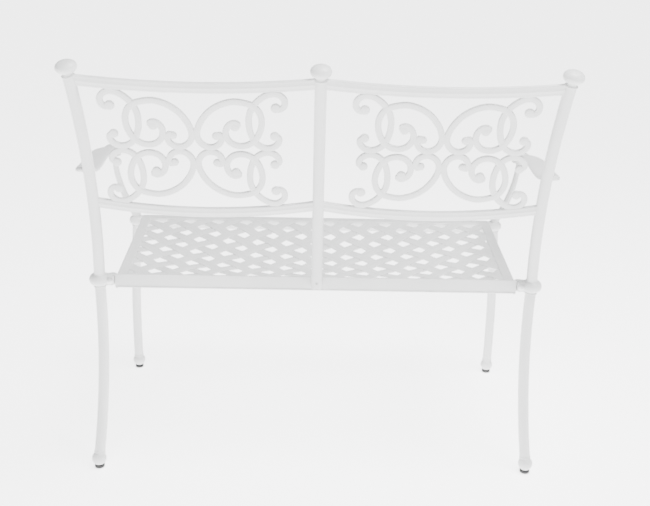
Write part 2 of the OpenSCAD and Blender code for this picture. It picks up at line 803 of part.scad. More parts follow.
// Plan of the arm: share of the way to the support, share of the arm's outward lean,
// and width as a share of arm_w.
arm_rear_out = 6;
arm_out = support_top.x - post_arm.x - arm_rear_out;
arm_spread = [[-0.02, 0, 0.8], [0.02, 0.02, 0.96], [0.12, 0.08, 1], [0.29, 0.26, 1], [0.49, 0.46, 0.98],
    [0.68, 0.66, 0.9], [0.84, 0.86, 0.76], [0.93, 0.98, 0.66], [1.08, 1.02, 0.6]];
arm_plan_steps = [for (p = arm_spread) [p.x * arm_reach, arm_rear_out + p.y * arm_out, p[2]]];

module arm_shape() {
    top_line = spline([for (p = arm_line) [post_arm.y - p.x, arm_z - p.y]], 4);
    plan = spline([for (p = arm_plan_steps) [post_arm.x + p[1], post_arm.y - p[0]]], 3);
    width = spline([for (p = arm_plan_steps) [p[2] * arm_w, 0]], 3);
    outline = concat([for (i = [0 : len(plan) - 1]) plan[i] + [width[i].x / 2, 0]],
        [for (i = [len(plan) - 1 : -1 : 0]) plan[i] - [width[i].x / 2, 0]]);
    intersection() {
        translate([post_arm.x, 0, 0]) rotate([90, 0, 90]) translate([0, 0, -arm_w])
            linear_extrude(height = 3 * arm_w + 20) polygon(bar_outline(top_line, arm_t));
        translate([0, 0, arm_z - 200]) linear_extrude(height = 300) polygon(outline);
    }
}

module arm(side) {
    color(white) placed(side) difference() {
        arm_shape();
        bent_rod(rear_knuckle, finial_pt, rear_post_bow, r, 0.02, 0.98);
    }
}

// ---- fasteners ----

// A seat bolt: domed head outside the lug, thread through the lug and the seat rail's tab.
module one_bolt() {
    translate([0, 0, -washer_t - bolt_head_h]) rotate_extrude($fn = 64) intersection() {
        union() {
            translate([0, bolt_head_h / 2]) square([bolt_head_d / 2, bolt_head_h / 2]);
            translate([0, dome_r]) circle(r = dome_r, $fn = 96);
        }
        square([bolt_head_d / 2, bolt_head_h]);
    }
    translate([0, 0, -washer_t - 0.5])
        cylinder(d = bolt_d, h = washer_t + 0.5 + $grip + nut_h + 3, $fn = 48);
}

dome_r = (bolt_head_d * bolt_head_d / 4 + bolt_head_h * bolt_head_h / 4) / bolt_head_h;

// Puts children at a lug's outer face, their +Z along the bolt. $grip is the thickness clamped.
module at_bolt(face, turn, $grip) {
    translate(face) rotate([turn, 0, 0]) children();
}

module at_bolts() {
    both_sides() {
        at_bolt(rear_bolt + [0, lug_back, 0], 90, $grip = lug_back + lug_front + tab_t + 0.1) children();
        at_bolt(front_bolt - [0, lug_t / 2, 0], -90, $grip = lug_t + knuckle_gap + tab_t + 0.1) children();
    }
}

module seat_bolts() {
    color(steel) placed(1) at_bolts() one_bolt();
}

module seat_washers() {
    color(steel) placed(1) at_bolts() translate([0, 0, -washer_t]) difference() {
        cylinder(d = bolt_head_d + 2, h = washer_t, $fn = 64);
        translate([0, 0, -1]) cylinder(d = bolt_d + bolt_gap, h = washer_t + 2, $fn = 48);
    }
}

module seat_nuts() {
    color(steel) placed(1) at_bolts() translate([0, 0, $grip]) difference() {
        cylinder(d = nut_d, h = nut_h, $fn = 6);
        translate([0, 0, -1]) cylinder(d = bolt_d + 0.02, h = nut_h + 2, $fn = 48);
    }
}

// Two screws from inside the seat hold the centre post's flat foot to the rear rail.
screw_r = 2.5;
centre_screw_z = [rear_knuckle_z - 9, rear_knuckle_z + 7];

module centre_post_screws() {
    color(steel) placed(1) for (z = centre_screw_z)
        translate([0, -skirt_t / 2, z]) rotate([-90, 0, 0]) {
            cylinder(r = screw_r - 0.05, h = skirt_t + 8, $fn = 32);
            translate([0, 0, -3]) cylinder(r = 4.5, h = 3, $fn = 32);
        }
}

seat_panel();
seat_rail_front();
seat_rail_rear();
seat_rail_side(1);  // seat_rail_left
seat_rail_side(-1);  // seat_rail_right
rear_post(1);  // rear_post_left
rear_post(-1);  // rear_post_right
centre_post();
rear_leg(1);  // rear_leg_left
rear_leg(-1);  // rear_leg_right
front_leg(1);  // front_leg_left
front_leg(-1);  // front_leg_right
rear_knuckle_part(1);  // rear_knuckle_left
rear_knuckle_part(-1);  // rear_knuckle_right
front_knuckle_part(1);  // front_knuckle_left
front_knuckle_part(-1);  // front_knuckle_right
arm_support(1);  // arm_support_left
arm_support(-1);  // arm_support_right
arm(1);  // arm_left
arm(-1);  // arm_right
top_rail(1);  // top_rail_left
top_rail(-1);  // top_rail_right
bottom_rail(1);  // bottom_rail_left
bottom_rail(-1);  // bottom_rail_right
scroll_panel(1);  // scroll_panel_left
scroll_panel(-1);  // scroll_panel_right
finial_side(1);  // finial_left
finial_centre();
finial_side(-1);  // finial_right
foot_rear(1);  // foot_rear_left
foot_rear(-1);  // foot_rear_right
foot_front(1);  // foot_front_left
foot_front(-1);  // foot_front_right
glide_rear(1);  // glide_rear_left
glide_rear(-1);  // glide_rear_right
glide_front(1);  // glide_front_left
glide_front(-1);  // glide_front_right
seat_bolts();
seat_washers();
seat_nuts();
centre_post_screws();
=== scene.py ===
"""Looks of a white cast garden bench: powder-coated tube and castings, woven seat, black glides.

Sizes are in millimetres and places are measured from the middle of the rear seat knuckles,
as the bench is drawn; row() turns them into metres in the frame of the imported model.
"""

import math

import bpy
import numpy as np
from mathutils import Matrix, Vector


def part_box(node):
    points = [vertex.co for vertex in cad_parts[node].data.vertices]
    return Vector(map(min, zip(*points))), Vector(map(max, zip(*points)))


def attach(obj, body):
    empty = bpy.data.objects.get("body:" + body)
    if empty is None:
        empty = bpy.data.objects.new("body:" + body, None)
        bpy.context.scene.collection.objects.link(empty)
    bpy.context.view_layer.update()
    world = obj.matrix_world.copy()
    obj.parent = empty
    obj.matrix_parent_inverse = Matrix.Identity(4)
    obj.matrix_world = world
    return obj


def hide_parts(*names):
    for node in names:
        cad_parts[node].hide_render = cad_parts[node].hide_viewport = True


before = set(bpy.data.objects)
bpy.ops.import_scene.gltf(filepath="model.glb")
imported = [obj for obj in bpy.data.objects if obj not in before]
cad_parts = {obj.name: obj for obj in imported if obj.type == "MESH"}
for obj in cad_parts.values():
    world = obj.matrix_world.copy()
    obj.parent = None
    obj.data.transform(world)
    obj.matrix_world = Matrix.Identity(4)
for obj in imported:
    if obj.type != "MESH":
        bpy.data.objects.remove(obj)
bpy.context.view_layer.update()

knuckle_low, knuckle_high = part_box("rear_knuckle_left")
BACK_SHIFT = (knuckle_low[1] + knuckle_high[1]) / 2 * 1000
TAU = 2 * math.pi


# ---- numbers of the bench ----

TUBE_R = 12.0
REAR_KNUCKLE = np.array([478.0, 0, 439])
FRONT_KNUCKLE = np.array([482.0, -469, 436])
REAR_FOOT = np.array([490.0, 56, 22.5])
FRONT_FOOT = np.array([495.0, -469, 22.5])
FINIAL = np.array([487.0, 123, 915])
CENTRE_FOOT = np.array([0.0, 13, 431])
CENTRE_FINIAL = np.array([0.0, 119, 915])
REAR_POST_BOW = np.array([-12.0, -5, 0])
REAR_LEG_BOW = np.array([-7.0, -14, 0])
FRONT_LEG_BOW = np.array([5.0, 0, 0])
CENTRE_BOW = np.array([0.0, -13, 0])
GLIDE_H = 8.0

RAIL_H, RAIL_T = 23.0, 11.0
TOP_RAIL_Z, BOTTOM_RAIL_Z = 891.0, 628.0
TOP_SAG, BOTTOM_SAG = 13.0, 21.0
SCROLL_W, SCROLL_T = 13.0, 8.0

SEAT_FRONT, SEAT_REAR = -489.0, -2.5
FRONT_HALF_W, REAR_HALF_W = 468.0, 444.3
WEAVE_W, WEAVE_D, BAND_W = 74.0, 81.0, 29.5
BORDER_W, FRONT_BORDER = 24.0, 49.0

ARM_Z, ARM_DROP, ARM_W, ARM_T = 696.0, 58.0, 48.0, 10.0


# ---- curves ----

def unit(v):
    """Each row of v divided by its length."""
    v = np.asarray(v, float)
    return v / np.linalg.norm(v, axis=-1, keepdims=True)


def arc(a, b, bow, t):
    """Points on the circle arc from a to b whose middle stands off the chord by bow.

    With c the chord and s the bow at right angles to it, the radius is (c*c/4 + s*s) / (2*s),
    and the angle from the middle runs from minus to plus asin(c / 2 / radius) as t goes 0 to 1.
    """
    a, b = np.asarray(a, float), np.asarray(b, float)
    along = unit(b - a)
    off = bow - (bow @ along) * along
    s, c = np.linalg.norm(off), np.linalg.norm(b - a)
    radius = (c * c / 4 + s * s) / (2 * s)
    half = math.asin(c / 2 / radius)
    ang = (2 * np.asarray(t, float)[..., None] - 1) * half
    return (a + b) / 2 + off / s * radius * (np.cos(ang) - math.cos(half)) + along * radius * np.sin(ang)


def arc_at_height(a, b, bow, z):
    """The point of the arc at height z, read off a fine table of its heights."""
    t = np.linspace(0, 1, 4001)
    p = arc(a, b, bow, t)
    return p[np.argmin(np.abs(p[:, 2] - z))]


def flowing(points, steps):
    """Catmull-Rom curve through the points, with the given number of steps between each two.

    Each span is the cubic whose slopes at its ends are half the span between the neighbours.
    """
    p = np.asarray(points, float)
    q = np.vstack([2 * p[0] - p[1], p, 2 * p[-1] - p[-2]])
    t = (np.arange(steps) / steps)[:, None, None]
    p0, p1, p2, p3 = q[:-3], q[1:-2], q[2:-1], q[3:]
    c = 0.5 * (2 * p1 + (p2 - p0) * t + (2 * p0 - 5 * p1 + 4 * p2 - p3) * t ** 2
               + (3 * p1 - p0 - 3 * p2 + p3) * t ** 3)
    return np.vstack([c.transpose(1, 0, 2).reshape(-1, p.shape[1]), p[-1]])


def even(curve, gap):
    """The curve's points moved to even steps of about gap along its length."""
    run = np.concatenate([[0], np.cumsum(np.linalg.norm(np.diff(curve, axis=0), axis=1))])
    s = np.linspace(0, run[-1], max(int(run[-1] / gap), 2) + 1)
    return np.stack([np.interp(s, run, curve[:, k]) for k in range(curve.shape[1])], 1)


def smooth_table(x, knots):
    """Cubic through (place, value) knots, with each knot's slope taken from its neighbours."""
    k = np.asarray(knots, float)
    xs, ys = k[:, 0], k[:, 1]
    slope = np.gradient(ys, xs)
    x = np.clip(x, xs[0], xs[-1])
    i = np.clip(np.searchsorted(xs, x, side="right") - 1, 0, len(xs) - 2)
    h = xs[i + 1] - xs[i]
    t = (x - xs[i]) / h
    return (ys[i] * (1 + 2 * t) * (1 - t) ** 2 + slope[i] * h * t * (1 - t) ** 2
            + ys[i + 1] * t * t * (3 - 2 * t) + slope[i + 1] * h * t * t * (t - 1))


# ---- sections ----

def oval(half_w, half_t, n=20, power=2.6):
    """Superellipse: |x / half_w| ** power + |y / half_t| ** power = 1, n points round."""
    a = TAU * np.arange(n) / n
    c, s = np.cos(a), np.sin(a)
    return np.stack([half_w * np.sign(c) * np.abs(c) ** (2 / power),
                     half_t * np.sign(s) * np.abs(s) ** (2 / power)], 1)


def soft_box(w, t, corner, arc_steps=4):
    """Rectangle w by t with round corners: four quarter circles joined by straight sides."""
    out = []
    for k, (sx, sy) in enumerate([(1, 1), (-1, 1), (-1, -1), (1, -1)]):
        a = math.pi / 2 * (k + np.linspace(0, 1, arc_steps + 1))
        out.append(np.stack([sx * (w / 2 - corner) + corner * np.cos(a),
                             sy * (t / 2 - corner) + corner * np.sin(a)], 1))
    return np.vstack(out)


# ---- surfaces ----

def along_path(path, section, side, width=None, thick=None):
    """Rings of a section carried along a path. The section's x lies along side, as far as the
    path's direction allows, and its y at right angles to both. width and thick scale each ring.
    """
    go = unit(np.gradient(path, axis=0))
    side = np.broadcast_to(np.asarray(side, float), path.shape)
    across = unit(side - (side * go).sum(1, keepdims=True) * go)
    up = np.cross(go, across)
    w = np.ones(len(path)) if width is None else np.asarray(width, float)
    t = w if thick is None else np.asarray(thick, float)
    return (path[:, None] + section[None, :, :1] * w[:, None, None] * across[:, None]
            + section[None, :, 1:] * t[:, None, None] * up[:, None])


def turned(profile, centre, axis, n=48):
    """Rings of a profile of (height, radius) rows turned round an axis through centre."""
    p = np.asarray(profile, float)
    axis = unit(np.asarray(axis, float))
    first = unit(np.cross(axis, [0.0, 1, 0] if abs(axis[1]) < 0.9 else [1.0, 0, 0]))
    second = np.cross(axis, first)
    a = TAU * np.arange(n) / n
    ring = np.cos(a)[:, None] * first + np.sin(a)[:, None] * second
    return np.asarray(centre, float) + p[:, :1, None] * axis + p[:, 1:, None] * ring[None]


def skin(rings, closed=False):
    """Closed surface over rings of points: quads between neighbours, and a fan over each end,
    or back to the first ring where closed. Faces are turned so that the volume is positive.
    """
    n, m = rings.shape[:2]
    points = rings.reshape(-1, 3)
    i = np.arange(n if closed else n - 1)[:, None]
    j = np.arange(m)[None, :]
    a, b = i * m + j, i * m + (j + 1) % m
    c, d = ((i + 1) % n) * m + (j + 1) % m, ((i + 1) % n) * m + j
    quads = np.stack([a, b, c, d], -1).reshape(-1, 4)
    fans = np.zeros((0, 3), int)
    if not closed:
        k = np.arange(m)
        low = np.stack([np.full(m, n * m), (k + 1) % m, k], 1)
        top = (n - 1) * m
        high = np.stack([np.full(m, n * m + 1), top + k, top + (k + 1) % m], 1)
        points = np.vstack([points, rings[0].mean(0), rings[-1].mean(0)])
        fans = np.vstack([low, high])
    tri = np.vstack([quads[:, [0, 1, 2]], quads[:, [0, 2, 3]], fans])
    p = points - points.mean(0)
    volume = np.einsum("ij,ij->i", p[tri[:, 0]], np.cross(p[tri[:, 1]], p[tri[:, 2]])).sum()
    if volume < 0:
        quads, fans = quads[:, ::-1], fans[:, ::-1]
    return points, quads, fans


def mirrored(rings):
    """The same rings on the bench's other side."""
    return rings * np.array([-1.0, 1, 1])


def row(points):
    """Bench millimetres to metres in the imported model's frame."""
    return (points + np.array([0, BACK_SHIFT, 0])) / 1000


def piece(name, skins, material, stands_for, crease=38):
    """One mesh object from one or more skins. It rides on the bench and hides its CAD nodes."""
    points, faces4, faces3, base = [], [], [], 0
    for p, q, f in skins:
        points.append(p)
        faces4.append(q + base)
        faces3.append(f + base)
        base += len(p)
    points, quads, fans = row(np.vstack(points)), np.vstack(faces4), np.vstack(faces3)
    mesh = bpy.data.meshes.new(name)
    mesh.vertices.add(len(points))
    mesh.vertices.foreach_set("co", points.ravel())
    mesh.loops.add(quads.size + fans.size)
    corners = np.concatenate([quads.ravel(), fans.ravel()])
    mesh.loops.foreach_set("vertex_index", corners.astype(np.int32))
    sizes = np.concatenate([np.full(len(quads), 4), np.full(len(fans), 3)])
    starts = np.concatenate([[0], np.cumsum(sizes)[:-1]])
    mesh.polygons.add(len(sizes))
    mesh.polygons.foreach_set("loop_start", starts.astype(np.int32))
    mesh.update(calc_edges=True)
    mesh.validate()
    mesh.polygons.foreach_set("use_smooth", np.ones(len(mesh.polygons), bool))
    mesh.set_sharp_from_angle(angle=math.radians(crease))
    mesh.materials.append(material)
    obj = bpy.data.objects.new(name, mesh)
    bpy.context.scene.collection.objects.link(obj)
    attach(obj, "root")
    if stands_for:
        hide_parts(*stands_for)
    return obj


# ---- finishes ----

def new_group(name, inputs, outputs):
    """An empty shader node group with the named float or colour sockets."""
    group = bpy.data.node_groups.new(name, "ShaderNodeTree")
    for label, kind, value in inputs:
        socket = group.interface.new_socket(label, in_out="INPUT", socket_type=kind)
        socket.default_value = value
    for label, kind in outputs:
        group.interface.new_socket(label, in_out="OUTPUT", socket_type=kind)
    return group, group.nodes.new("NodeGroupInput"), group.nodes.new("NodeGroupOutput")


def node(tree, kind, settings=None, **inputs):
    """Adds a node, sets its properties and links or sets its inputs by name."""
    n = tree.nodes.new(kind)
    for k, v in (settings or {}).items():
        setattr(n, k, v)
    for k, v in inputs.items():
        by_number = k[0] == "i" and k[1:].isdigit()
        socket = n.inputs[int(k[1:]) if by_number else k.replace("_", " ")]
        if isinstance(v, bpy.types.NodeSocket):
            tree.links.new(v, socket)
        else:
            socket.default_value = v
    return n


FLOAT, COLOUR = "NodeSocketFloat", "NodeSocketColor"


def make_grain():
    """Height of a sprayed coat: fine orange peel over slow casting waves, in object space."""
    g, a, z = new_group("coat grain", [("Fine", FLOAT, 700.0), ("Slow", FLOAT, 60.0),
                                       ("Slow share", FLOAT, 0.4)], [("Height", FLOAT)])
    place = node(g, "ShaderNodeTexCoord").outputs["Object"]
    fine = node(g, "ShaderNodeTexNoise", Vector=place, Scale=a.outputs["Fine"], Detail=3.0, Roughness=0.55)
    slow = node(g, "ShaderNodeTexNoise", Vector=place, Scale=a.outputs["Slow"], Detail=2.0)
    both = node(g, "ShaderNodeMix", {"data_type": "FLOAT"}, i0=a.outputs["Slow share"],
                i2=fine.outputs["Fac"], i3=slow.outputs["Fac"])
    g.links.new(both.outputs[0], z.inputs["Height"])
    return g


def make_drift():
    """A colour that wanders slowly between two tones, with small flecks of a third."""
    g, a, z = new_group("colour drift", [("Tone", COLOUR, (1, 1, 1, 1)), ("Other tone", COLOUR, (1, 1, 1, 1)),
                                         ("Fleck", COLOUR, (0.5, 0.5, 0.5, 1)), ("Scale", FLOAT, 9.0),
                                         ("Fleck amount", FLOAT, 0.15)], [("Colour", COLOUR)])
    place = node(g, "ShaderNodeTexCoord").outputs["Object"]
    slow = node(g, "ShaderNodeTexNoise", Vector=place, Scale=a.outputs["Scale"], Detail=4.0)
    spread = node(g, "ShaderNodeMapRange", Value=slow.outputs["Fac"], From_Min=0.32, From_Max=0.68)
    base = node(g, "ShaderNodeMix", {"data_type": "RGBA"}, i0=spread.outputs["Result"],
                i6=a.outputs["Tone"], i7=a.outputs["Other tone"])
    dots = node(g, "ShaderNodeTexNoise", Vector=place, Scale=420.0, Detail=1.0)
    rare = node(g, "ShaderNodeMapRange", Value=dots.outputs["Fac"], From_Min=0.66, From_Max=0.8)
    much = node(g, "ShaderNodeMath", {"operation": "MULTIPLY"}, i0=rare.outputs["Result"],
                i1=a.outputs["Fleck amount"])
    out = node(g, "ShaderNodeMix", {"data_type": "RGBA"}, i0=much.outputs[0], i6=base.outputs[2],
               i7=a.outputs["Fleck"])
    g.links.new(out.outputs[2], z.inputs["Colour"])
    return g


def make_shade_and_wear_masks():
    """Masks from pointiness, broken up by noise: outer edges, for painted edge shade and rubbing, and inner
    corners, for painted crevice shade and dirt.
    """
    g, a, z = new_group("edge and corner shade with rubbing and grime", [("Edge", FLOAT, 0.56), ("Corner", FLOAT, 0.44),
                                      ("Patches", FLOAT, 45.0)], [("Shaded and rubbed edge", FLOAT), ("Shaded and grimy corner", FLOAT)])
    bend = node(g, "ShaderNodeNewGeometry").outputs["Pointiness"]
    place = node(g, "ShaderNodeTexCoord").outputs["Object"]
    patch = node(g, "ShaderNodeTexNoise", Vector=place, Scale=a.outputs["Patches"], Detail=5.0)
    # High pointiness picks outer edges for painted edge shade and rubbing, low pointiness inner corners for
    # painted crevice shade and dirt.
    edge = node(g, "ShaderNodeMapRange", Value=bend, From_Min=a.outputs["Edge"], From_Max=0.68)
    inner = node(g, "ShaderNodeMapRange", Value=bend, From_Min=a.outputs["Corner"], From_Max=0.34)
    broken = node(g, "ShaderNodeMapRange", Value=patch.outputs["Fac"], From_Min=0.4, From_Max=0.62)
    edge_shade_and_wear_mask = node(g, "ShaderNodeMath", {"operation": "MULTIPLY"}, i0=edge.outputs["Result"],
                i1=broken.outputs["Result"])
    corner_shade_and_dust_mask = node(g, "ShaderNodeMath", {"operation": "MULTIPLY"}, i0=inner.outputs["Result"],
                 i1=patch.outputs["Fac"])
    g.links.new(edge_shade_and_wear_mask.outputs[0], z.inputs["Shaded and rubbed edge"])
    g.links.new(corner_shade_and_dust_mask.outputs[0], z.inputs["Shaded and grimy corner"])
    return g


GRAIN, DRIFT, SHADE_AND_WEAR = make_grain(), make_drift(), make_shade_and_wear_masks()


def finish(name, tone, other, fleck, edge_shade_and_wear_tone, corner_shade_and_dust_tone, rough, rough_swing, fine, slow, slow_share,
           bump, metal=0.0, fleck_amount=0.15, edge_shade_and_wear_amount=0.4, corner_shade_and_dust_amount=0.5, coat=0.0):
    """A coated or moulded surface: drifting colour, outer edges and inner corners mixed towards tones of
    their own (painted shade where these are darker than the coat, rubbing and dirt where lighter), grain in
    the normal.
    """
    m = bpy.data.materials.new(name)
    m.use_nodes = True
    t = m.node_tree
    shader = t.nodes["Principled BSDF"]
    drift = node(t, "ShaderNodeGroup", {"node_tree": DRIFT}, Tone=tone, Other_tone=other, Fleck=fleck,
                 Fleck_amount=fleck_amount)
    shade_and_wear = node(t, "ShaderNodeGroup", {"node_tree": SHADE_AND_WEAR})
    edge_shade_and_wear_mask = node(t, "ShaderNodeMath", {"operation": "MULTIPLY"}, i0=shade_and_wear.outputs["Shaded and rubbed edge"], i1=edge_shade_and_wear_amount)
    corner_shade_and_dust_share = node(t, "ShaderNodeMath", {"operation": "MULTIPLY"}, i0=shade_and_wear.outputs["Shaded and grimy corner"], i1=corner_shade_and_dust_amount)
    # Outer edges and inner corners take their own tones: painted edge shade and painted crevice shade where
    # the tones are darker, rubbing and dirt where lighter.
    first = node(t, "ShaderNodeMix", {"data_type": "RGBA"}, i0=edge_shade_and_wear_mask.outputs[0],
                 i6=drift.outputs["Colour"], i7=edge_shade_and_wear_tone)
    second = node(t, "ShaderNodeMix", {"data_type": "RGBA"}, i0=corner_shade_and_dust_share.outputs[0],
                  i6=first.outputs[2], i7=corner_shade_and_dust_tone)
    t.links.new(second.outputs[2], shader.inputs["Base Color"])
    place = node(t, "ShaderNodeTexCoord").outputs["Object"]
    cloud = node(t, "ShaderNodeTexNoise", Vector=place, Scale=26.0, Detail=4.0)
    rough_map = node(t, "ShaderNodeMapRange", Value=cloud.outputs["Fac"], From_Min=0.3, From_Max=0.7,
                     To_Min=rough - rough_swing, To_Max=rough + rough_swing)
    t.links.new(rough_map.outputs["Result"], shader.inputs["Roughness"])
    grain = node(t, "ShaderNodeGroup", {"node_tree": GRAIN}, Fine=fine, Slow=slow, Slow_share=slow_share)
    bumped = node(t, "ShaderNodeBump", Height=grain.outputs["Height"], Strength=bump, Distance=0.0006)
    t.links.new(bumped.outputs["Normal"], shader.inputs["Normal"])
    shader.inputs["Metallic"].default_value = metal
    shader.inputs["Coat Weight"].default_value = coat
    return m


# Both white coats take darker edge and corner tones: painted edge shade and painted crevice shade.
WHITE_TUBE = finish("white_coat_on_tube", (0.72, 0.72, 0.715, 1), (0.68, 0.685, 0.68, 1),
                    (0.5, 0.49, 0.47, 1), (0.62, 0.62, 0.61, 1), (0.42, 0.41, 0.39, 1),
                    0.34, 0.05, 620.0, 40.0, 0.25, 0.22)
WHITE_CAST = finish("white_coat_on_casting", (0.72, 0.72, 0.715, 1), (0.67, 0.675, 0.67, 1),
                    (0.48, 0.47, 0.45, 1), (0.60, 0.60, 0.59, 1), (0.40, 0.39, 0.37, 1),
                    0.40, 0.07, 520.0, 90.0, 0.55, 0.4)
BLACK_NYLON = finish("black_nylon", (0.018, 0.018, 0.018, 1), (0.028, 0.028, 0.029, 1), (0.08, 0.08, 0.08, 1),
                     (0.09, 0.09, 0.09, 1), (0.16, 0.155, 0.15, 1), 0.5, 0.08, 900.0, 120.0, 0.3, 0.5)
# The steel's darker corner tone is painted crevice shade; its lighter edge tone is rubbing.
STEEL = finish("stainless_steel", (0.78, 0.78, 0.77, 1), (0.70, 0.70, 0.70, 1), (0.45, 0.43, 0.41, 1),
               (0.85, 0.85, 0.85, 1), (0.4, 0.39, 0.37, 1), 0.48, 0.06, 1400.0, 200.0, 0.3, 0.25, metal=1.0)

for name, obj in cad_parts.items():
    if name.startswith("glide"):
        coat = BLACK_NYLON
    elif name.startswith(("seat_bolts", "seat_washers", "seat_nuts", "centre_post_screws")):
        coat = STEEL
    elif "post" in name or "leg" in name:
        coat = WHITE_TUBE
    else:
        coat = WHITE_CAST
    if obj.material_slots:
        for s in obj.material_slots:
            s.material = coat
    else:
        obj.data.materials.append(coat)


# ---- back: rails and scroll panels ----

POST_TOP = arc_at_height(REAR_KNUCKLE, FINIAL, REAR_POST_BOW, TOP_RAIL_Z)
POST_LOW = arc_at_height(REAR_KNUCKLE, FINIAL, REAR_POST_BOW, BOTTOM_RAIL_Z)
POST_ARM = arc_at_height(REAR_KNUCKLE, FINIAL, REAR_POST_BOW, ARM_Z)
CENTRE_TOP = arc_at_height(CENTRE_FOOT, CENTRE_FINIAL, CENTRE_BOW, TOP_RAIL_Z)
CENTRE_LOW = arc_at_height(CENTRE_FOOT, CENTRE_FINIAL, CENTRE_BOW, BOTTOM_RAIL_Z)
BACK_LOW, BACK_HIGH = (POST_LOW + CENTRE_LOW) / 2, (POST_TOP + CENTRE_TOP) / 2
BACK_RISE = math.hypot(BACK_HIGH[1] - BACK_LOW[1], BACK_HIGH[2] - BACK_LOW[2])
BACK_UP = np.array([0, BACK_HIGH[1] - BACK_LOW[1], BACK_HIGH[2] - BACK_LOW[2]]) / BACK_RISE
BACK_OUT = np.array([0, BACK_UP[2], -BACK_UP[1]])


def rail_section():
    """Round-cornered bar with a low rib along the middle of each face: the faces stand out by
    1.3 mm times the bell curve of their distance from the middle, 3.2 mm wide."""
    s = soft_box(RAIL_H, RAIL_T - 2.4, 3.2, 5)
    face = np.linspace(-RAIL_H / 2 + 3.3, RAIL_H / 2 - 3.3, 17)
    rib = 1.3 * np.exp(-(face / 3.2) ** 2)
    half = RAIL_T / 2 - 1.2
    near = np.stack([face[::-1], half + rib], 1)
    far = np.stack([face, -half - rib], 1)
    k = len(s) // 4
    return np.vstack([s[:k], near, s[k:3 * k], far, s[3 * k:]])


def rail(inner, outer, sag):
    """The rail's section along the sagging arc from the centre post to a corner post."""
    path = arc(inner, outer, -sag * BACK_UP, np.linspace(0.012, 0.988, 60))
    return along_path(path, rail_section(), BACK_UP)


for side, turn in (("left", lambda r: r), ("right", mirrored)):
    piece("top_rail_bar_" + side, [skin(turn(rail(CENTRE_TOP, POST_TOP, TOP_SAG)))],
          WHITE_CAST, ["top_rail_" + side])
    piece("bottom_rail_bar_" + side, [skin(turn(rail(CENTRE_LOW, POST_LOW, BOTTOM_SAG)))],
          WHITE_CAST, ["bottom_rail_" + side])

# Middle lines of the two bars in a quarter of a panel: outwards from the panel's middle, then up.
SIDE_SCROLL = [(157, 91), (167, 90), (175, 99), (174, 112), (162, 122), (147, 122), (131, 113.5),
               (117, 99), (108, 80), (106, 60), (109, 38), (117, 19), (128, 9), (141, 5), (154, 8), (163, 17),
               (165, 27), (158, 33)]
ARCH_SCROLL = [(41, 31), (49, 34), (53, 25), (48, 13), (37, 6), (24, 6), (12, 14), (5.5, 27), (6, 42),
               (14, 62), (30, 83), (52, 98), (76, 105), (97, 103), (114, 97), (126, 84), (131, 65),
               (128, 43), (118, 23), (104, 12), (88, 9), (73, 14), (63, 26), (61, 41), (67, 54), (77, 60),
               (86, 57), (82, 50)]
SCROLL_BUDS = [(158, 93, 10), (156, 32, 9.5), (79, 51, 9.5), (42, 30, 8.5)]
BAY_MIDDLE = (POST_LOW[0] + POST_TOP[0]) / 4
PANEL_X = BAY_MIDDLE + TUBE_R
RAIL_SHARE = 1 - (155 / BAY_MIDDLE) ** 2
PANEL_LOW = RAIL_H / 2 - BOTTOM_SAG * RAIL_SHARE
PANEL_HIGH = BACK_RISE - RAIL_H / 2 - TOP_SAG * RAIL_SHARE
PANEL_MIDDLE = (PANEL_HIGH + PANEL_LOW) / 2
PANEL_STRETCH = (PANEL_HIGH - PANEL_LOW + 2) / 256
PANEL_WIDE = BAY_MIDDLE / 231.7


def on_back(u, v, out):
    """A point of the panel: u outwards and v up from its middle, out towards the sitter's rear."""
    base = np.array([PANEL_X, BACK_LOW[1], BACK_LOW[2]]) + BACK_UP * PANEL_MIDDLE
    return (base + np.asarray(u)[..., None] * np.array([1.0, 0, 0]) + np.asarray(v)[..., None] * BACK_UP
            - np.asarray(out)[..., None] * BACK_OUT)


def scroll_bar(points, sx, sy, lift):
    """Flat round-cornered bar along a scroll's middle line. Its ends thin to 0.8 of its width,
    and where two bars cross, lift sets this one a little in front."""
    flat = even(flowing([(x * sx * PANEL_WIDE, y * sy * PANEL_STRETCH) for x, y in points], 10), 3.0)
    path = on_back(flat[:, 0], flat[:, 1], np.full(len(flat), lift))
    s = np.linspace(0, 1, len(path))
    ends = 0.8 + 0.2 * np.clip(np.minimum(s, 1 - s) * 14, 0, 1)
    go = unit(np.gradient(path, axis=0))
    section = soft_box(SCROLL_W, SCROLL_T - 0.6, 2.2, 3)
    return along_path(path, section, np.cross(go, BACK_OUT), ends, np.ones(len(path)))


def bud(x, y, r, sx, sy):
    """Round flattened end of a scroll: a disc with round edges and slightly raised faces."""
    a = np.linspace(-math.pi / 2, math.pi / 2, 9)
    rim = np.stack([SCROLL_T / 2 * np.sin(a), r - 2.6 + 2.6 * np.cos(a)], 1)
    profile = np.vstack([[-SCROLL_T / 2 - 0.5, r * 0.3], rim, [SCROLL_T / 2 + 0.5, r * 0.3]])
    return turned(profile, on_back(x * sx * PANEL_WIDE, y * sy * PANEL_STRETCH, 0.0), BACK_OUT, 28)


for side, turn in (("left", lambda r: r), ("right", mirrored)):
    skins = []
    for sx in (1, -1):
        for sy in (1, -1):
            skins.append(skin(turn(scroll_bar(SIDE_SCROLL, sx, sy, 0.25))))
            skins.append(skin(turn(scroll_bar(ARCH_SCROLL, sx, sy, -0.25))))
            skins += [skin(turn(bud(x, y, r, sx, sy))) for x, y, r in SCROLL_BUDS]
    piece("scrollwork_" + side, skins, WHITE_CAST, ["scroll_panel_" + side])


# ---- seat ----

